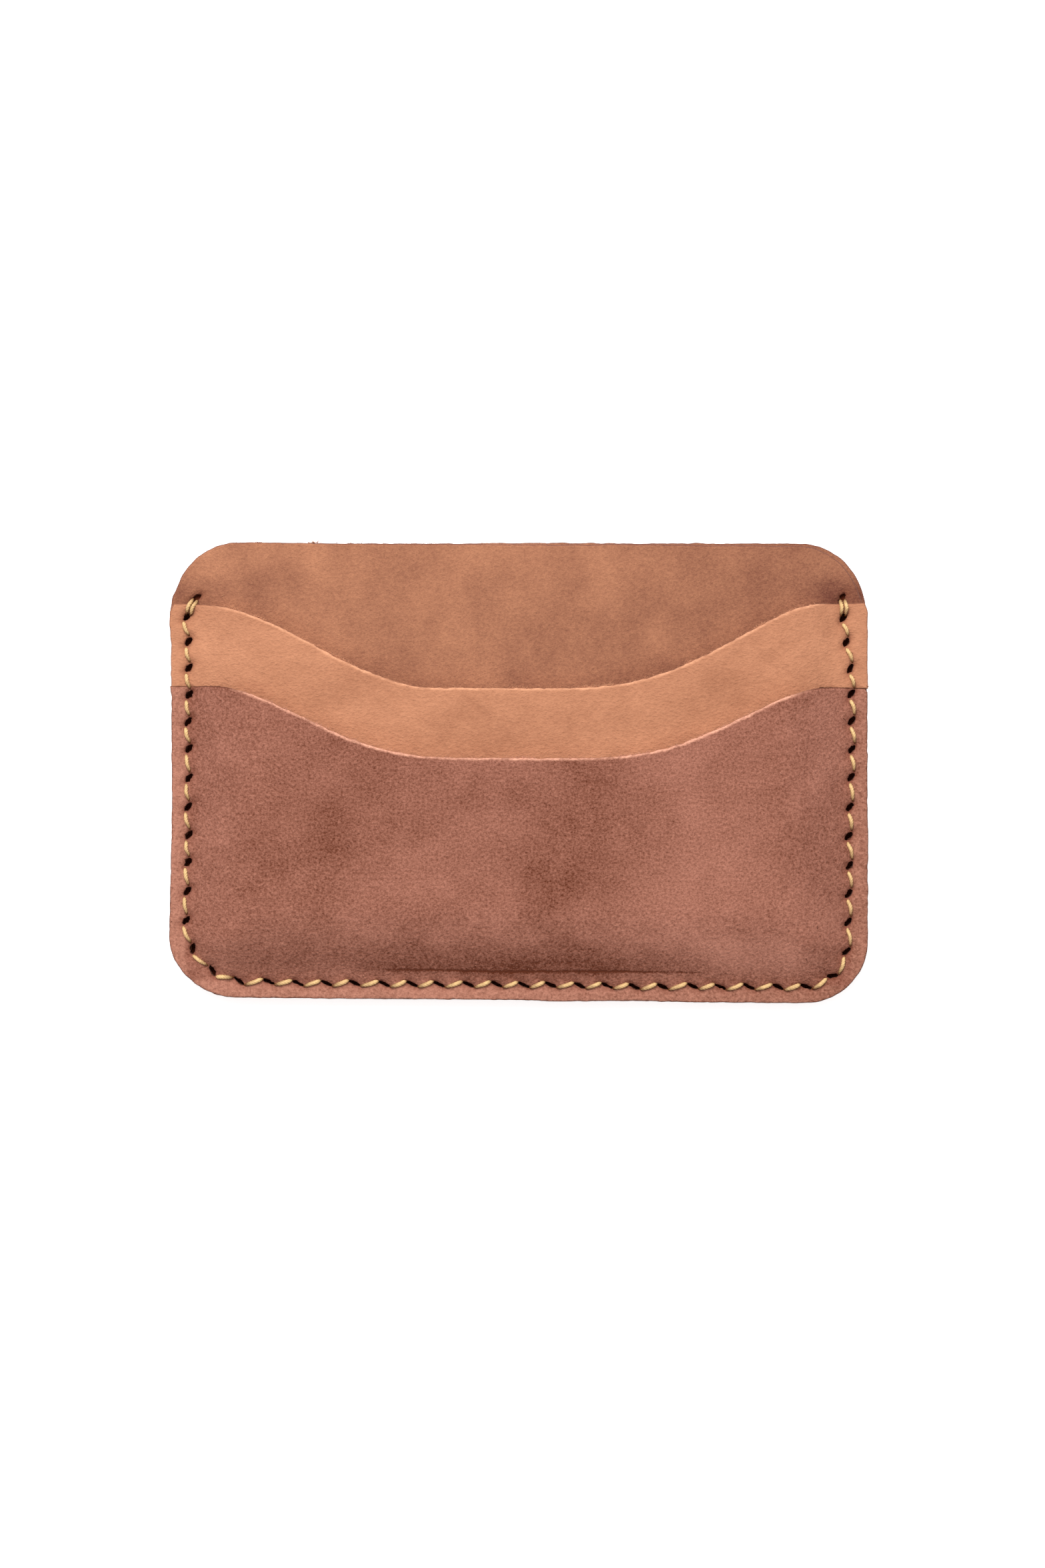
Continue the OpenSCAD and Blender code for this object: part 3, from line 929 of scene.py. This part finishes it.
class Nodes:
    """Short calls for building a material's node tree."""

    def __init__(self, name):
        self.material = bpy.data.materials.new(name)
        self.material.use_nodes = True
        self.tree = self.material.node_tree
        self.tree.nodes.clear()
        self.output = self.new("ShaderNodeOutputMaterial")

    def new(self, kind, **settings):
        node = self.tree.nodes.new(kind)
        for key, value in settings.items():
            setattr(node, key, value)
        return node

    def link(self, source, target):
        self.tree.links.new(source, target)

    def feed(self, socket, value):
        if hasattr(value, "is_output"):
            self.link(value, socket)
        else:
            socket.default_value = value

    def math(self, operation, a, b=0.0, clamp=False):
        node = self.new("ShaderNodeMath", operation=operation, use_clamp=clamp)
        self.feed(node.inputs[0], a)
        self.feed(node.inputs[1], b)
        return node.outputs[0]

    def place(self, stretch=(1, 1, 1)):
        """Object coordinates in millimetres."""
        node = self.new("ShaderNodeMapping")
        node.inputs["Scale"].default_value = [s / MM for s in stretch]
        self.link(self.new("ShaderNodeTexCoord").outputs["Object"], node.inputs["Vector"])
        return node.outputs[0]

    def noise(self, where, size, detail=2.0, roughness=0.5):
        """Noise about zero, whose grains are about that size."""
        node = self.new("ShaderNodeTexNoise")
        self.link(where, node.inputs["Vector"])
        node.inputs["Scale"].default_value = 1 / size
        node.inputs["Detail"].default_value = detail
        node.inputs["Roughness"].default_value = roughness
        return self.math("SUBTRACT", node.outputs[0], 0.5)

    def mark(self, name):
        return self.new("ShaderNodeAttribute", attribute_name=name).outputs["Fac"]

    def mix(self, share, a, b):
        node = self.new("ShaderNodeMix", data_type="RGBA")
        self.feed(node.inputs[0], share)
        self.feed(node.inputs[6], a)
        self.feed(node.inputs[7], b)
        return node.outputs[2]

    def sum(self, *parts):
        total = None
        for value, weight in parts:
            term = self.math("MULTIPLY", value, weight)
            total = term if total is None else self.math("ADD", total, term)
        return total

    def surface(self, colour, height, bump, roughness, specular, sheen):
        shader = self.new("ShaderNodeBsdfPrincipled")
        self.feed(shader.inputs["Base Color"], colour)
        shader.inputs["Roughness"].default_value = roughness
        shader.inputs["Specular IOR Level"].default_value = specular
        shader.inputs["Sheen Weight"].default_value = sheen
        shader.inputs["Sheen Roughness"].default_value = 0.6
        if height is not None:
            relief = self.new("ShaderNodeBump")
            relief.inputs["Strength"].default_value = 1.0
            relief.inputs["Distance"].default_value = bump * MM
            self.link(height, relief.inputs["Height"])
            self.link(relief.outputs[0], shader.inputs["Normal"])
        self.link(shader.outputs[0], self.output.inputs["Surface"])
        return self.material


def linear(red, green, blue):
    """A colour seen on a screen (0 to 255) as a shader's linear colour."""
    def one(c):
        c /= 255
        return c / 12.92 if c <= 0.04045 else ((c + 0.055) / 1.055) ** 2.4
    return (one(red), one(green), one(blue), 1)


def nubuck(name, dark, light, cut, grain, stretch=(1, 1, 1)):
    """Matt sanded leather: cloudy tones, a fine nap, pale cut edges with a painted highlight along
    the mouths, and painted shade in and round the holes.
    """
    n = Nodes(name)
    where = n.place()
    nap_place = n.place(stretch)
    clouds = n.noise(where, 5.0, 4, 0.6)
    mottle = n.noise(where, 1.3, 3, 0.6)
    nap = n.noise(nap_place, 0.38, 1, 0.5)
    dust = n.noise(nap_place, 0.2, 1, 0.5)
    tone = n.sum((n.mark("tone"), 0.5), (clouds, 0.4), (mottle, 0.16), (nap, grain),
                 (dust, grain * 0.9))
    body = n.mix(n.math("ADD", tone, 0.5, clamp=True), dark, light)
    ragged = n.math("ADD", n.math("MULTIPLY", nap, 1.6), 1.0)
    # the cut mark: the pale raw edge, and at the mouths partly a painted highlight
    colour = n.mix(n.math("MULTIPLY", n.mark("cut"), ragged, clamp=True), body, cut)
    # the hole mark paints shade into the slits and round them
    hole_shade = n.math("MULTIPLY", n.mark("hole"), 0.97, clamp=True)
    colour = n.mix(hole_shade, colour, HOLE_SHADE_COLOUR)
    height = n.sum((nap, 1.0), (dust, 0.5), (mottle, 0.9))
    return n.surface(colour, height, bump=0.12, roughness=0.92, specular=0.16, sheen=0.06)


def waxed_thread():
    """Cream thread with a dull shine, a little streaky and fibrous."""
    n = Nodes("waxed_thread")
    where = n.place()
    streak = n.noise(where, 0.5, 2)
    fine = n.noise(where, 0.07, 2, 0.6)
    # the tone mark carries the painted light and shade of each strand and ply
    tone = n.sum((n.mark("tone"), 0.36), (streak, 0.7), (fine, 0.8))
    dark, light = linear(104, 60, 26), linear(236, 196, 136)
    colour = n.mix(n.math("ADD", tone, 0.5, clamp=True), dark, light)
    return n.surface(colour, fine, bump=0.03, roughness=0.5, specular=0.45, sheen=0.0)


def dress(build, name, nodes_replaced, material):
    """Make the piece and enter it in the frame."""
    piece = build.mesh(name)
    piece.data.materials.append(material)
    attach(piece, "root")
    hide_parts(*nodes_replaced)


# --- The pieces ---

def mouth_raw_and_lit(mouth):
    """How raw and pale the cut edge is, with a painted highlight where the mouth faces the light:
    nearly 1 along the mouth, and 0 elsewhere.
    """
    def raw(x, up):
        reach = mouth.left[1] - 1.5
        level = np.array([mouth.up(v) for v in x])
        worn = 0.75 + 0.25 * field(x, up, 1.6, 71) + 0.2 * field(x, up, 0.6, 72)
        return worn * (1 - smooth(np.abs(x), reach - 4, reach)) * (np.abs(up - level) < 0.8)
    return raw


def rear_panel(material):
    build = panel(full_outline(), [], lambda x, up: 0 * x, panel_tone, seed=101, groove=True)
    dress(build, "rear_leather", ["rear_panel"], material)


def centre_panel(material):
    outline = full_outline(SECOND_EDGE)
    build = panel(outline, SEAM_HOLES, centre_under, panel_tone, seed=121)
    add_fringe(build, outline, lambda x, up: up > HEIGHT - 0.3, centre_under,
               per_mm=2.2, longest=0.5, cut=0.35, tone=0.3)
    add_flecks(build, count=16, lowest=MIDDLE_MOUTH.up(0))
    dress(build, "centre_leather", ["centre_panel"], material)


def middle_pocket(material):
    outline, raw = middle_outline(), mouth_raw_and_lit(MIDDLE_MOUTH)
    holes = [h for h in SEAM_HOLES if FRONT_SHOULDER < h[1] < MIDDLE_SHOULDER]
    build = panel(outline, holes, middle_under, middle_tone, seed=141, rough_mouth=raw,
                  thickness=middle_thickness)
    add_fringe(build, outline, raw, middle_under, per_mm=7, longest=0.32, cut=0.45, tone=0.5)
    add_flecks(build, count=12, lowest=FRONT_MOUTH.up(0))
    dress(build, "middle_leather", ["middle_pocket"], material)


def front_pocket(material):
    outline, raw = front_outline(), mouth_raw_and_lit(FRONT_MOUTH)
    holes = [h for h in SEAM_HOLES if h[1] < FRONT_SHOULDER]
    build = panel(outline, holes, front_under, front_tone, seed=161, rough_mouth=raw,
                  creased=True)
    add_fringe(build, outline, raw, front_under, per_mm=4, longest=0.3, cut=0.7, tone=0.3)
    add_flecks(build, count=24, lowest=0)
    dress(build, "front_leather", ["front_pocket"], material)


def floor():
    """A plain pale floor that glows a little, just below the holder."""
    data = bpy.data.meshes.new("floor")
    half, level = 1.5, -0.0001  # in metres
    data.from_pydata([(-half, -half, level), (half, -half, level),
                      (half, half, level), (-half, half, level)], [], [(0, 1, 2, 3)])
    piece = bpy.data.objects.new("floor", data)
    bpy.context.scene.collection.objects.link(piece)
    material = Nodes("paper").surface((0.9, 0.9, 0.9, 1), None, bump=0.0, roughness=0.9,
                                      specular=0.1, sheen=0.0)
    shader = material.node_tree.nodes["Principled BSDF"]
    shader.inputs["Emission Color"].default_value = (1, 1, 1, 1)
    shader.inputs["Emission Strength"].default_value = 0.6
    data.materials.append(material)


def area_light(name, place, size, power):
    """A round soft light that looks at the origin."""
    data = bpy.data.lights.new(name, "AREA")
    data.shape, data.size, data.energy = "DISK", size, power
    lamp = bpy.data.objects.new(name, data)
    bpy.context.scene.collection.objects.link(lamp)
    lamp.location = place
    aim = -np.array(place)
    tilt = math.acos(-aim[2] / np.linalg.norm(aim))
    lamp.rotation_euler = (tilt, 0, math.atan2(aim[0], -aim[1]) + math.pi)


def lights():
    """Even white light all round, and a soft window beyond the top edge."""
    world = bpy.data.worlds.new("studio")
    world.use_nodes = True
    background = world.node_tree.nodes["Background"]
    background.inputs["Color"].default_value = (1, 1, 1, 1)
    background.inputs["Strength"].default_value = 0.62
    bpy.context.scene.world = world
    area_light("window", place=(-0.1, 0.42, 0.62), size=0.5, power=6.0)


def camera():
    """Straight above the holder, as in the photo: a camera that isn't turned looks down."""
    off_centre, distance = (0.375, -1.69), 612.5
    data = bpy.data.cameras.new("camera")
    data.lens, data.sensor_width = 100, 36
    view = bpy.data.objects.new("camera", data)
    bpy.context.scene.collection.objects.link(view)
    view.location = (off_centre[0] * MM, off_centre[1] * MM, (distance + STACK_Z) * MM)
    bpy.context.scene.camera = view


panel_nubuck = nubuck("panel_nubuck", linear(106, 60, 46), linear(190, 130, 97),
                      linear(208, 146, 114), 0.42)
middle_nubuck = nubuck("middle_nubuck", linear(130, 78, 54), linear(210, 147, 112),
                       linear(217, 157, 121), 0.32, stretch=(0.75, 1.15, 1))
front_nubuck = nubuck("front_nubuck", linear(86, 36, 12), linear(174, 116, 97),
                      linear(222, 162, 136), 0.92)
thread_material = waxed_thread()

rear_panel(panel_nubuck)
centre_panel(panel_nubuck)
middle_pocket(middle_nubuck)
front_pocket(front_nubuck)
dress(seam_thread(), "seam_stitches", ["seam_thread"], thread_material)
dress(pocket_thread(), "pocket_stitches", ["pocket_thread"], thread_material)
floor()
lights()
camera()
bpy.context.scene.view_settings.view_transform = "Standard"
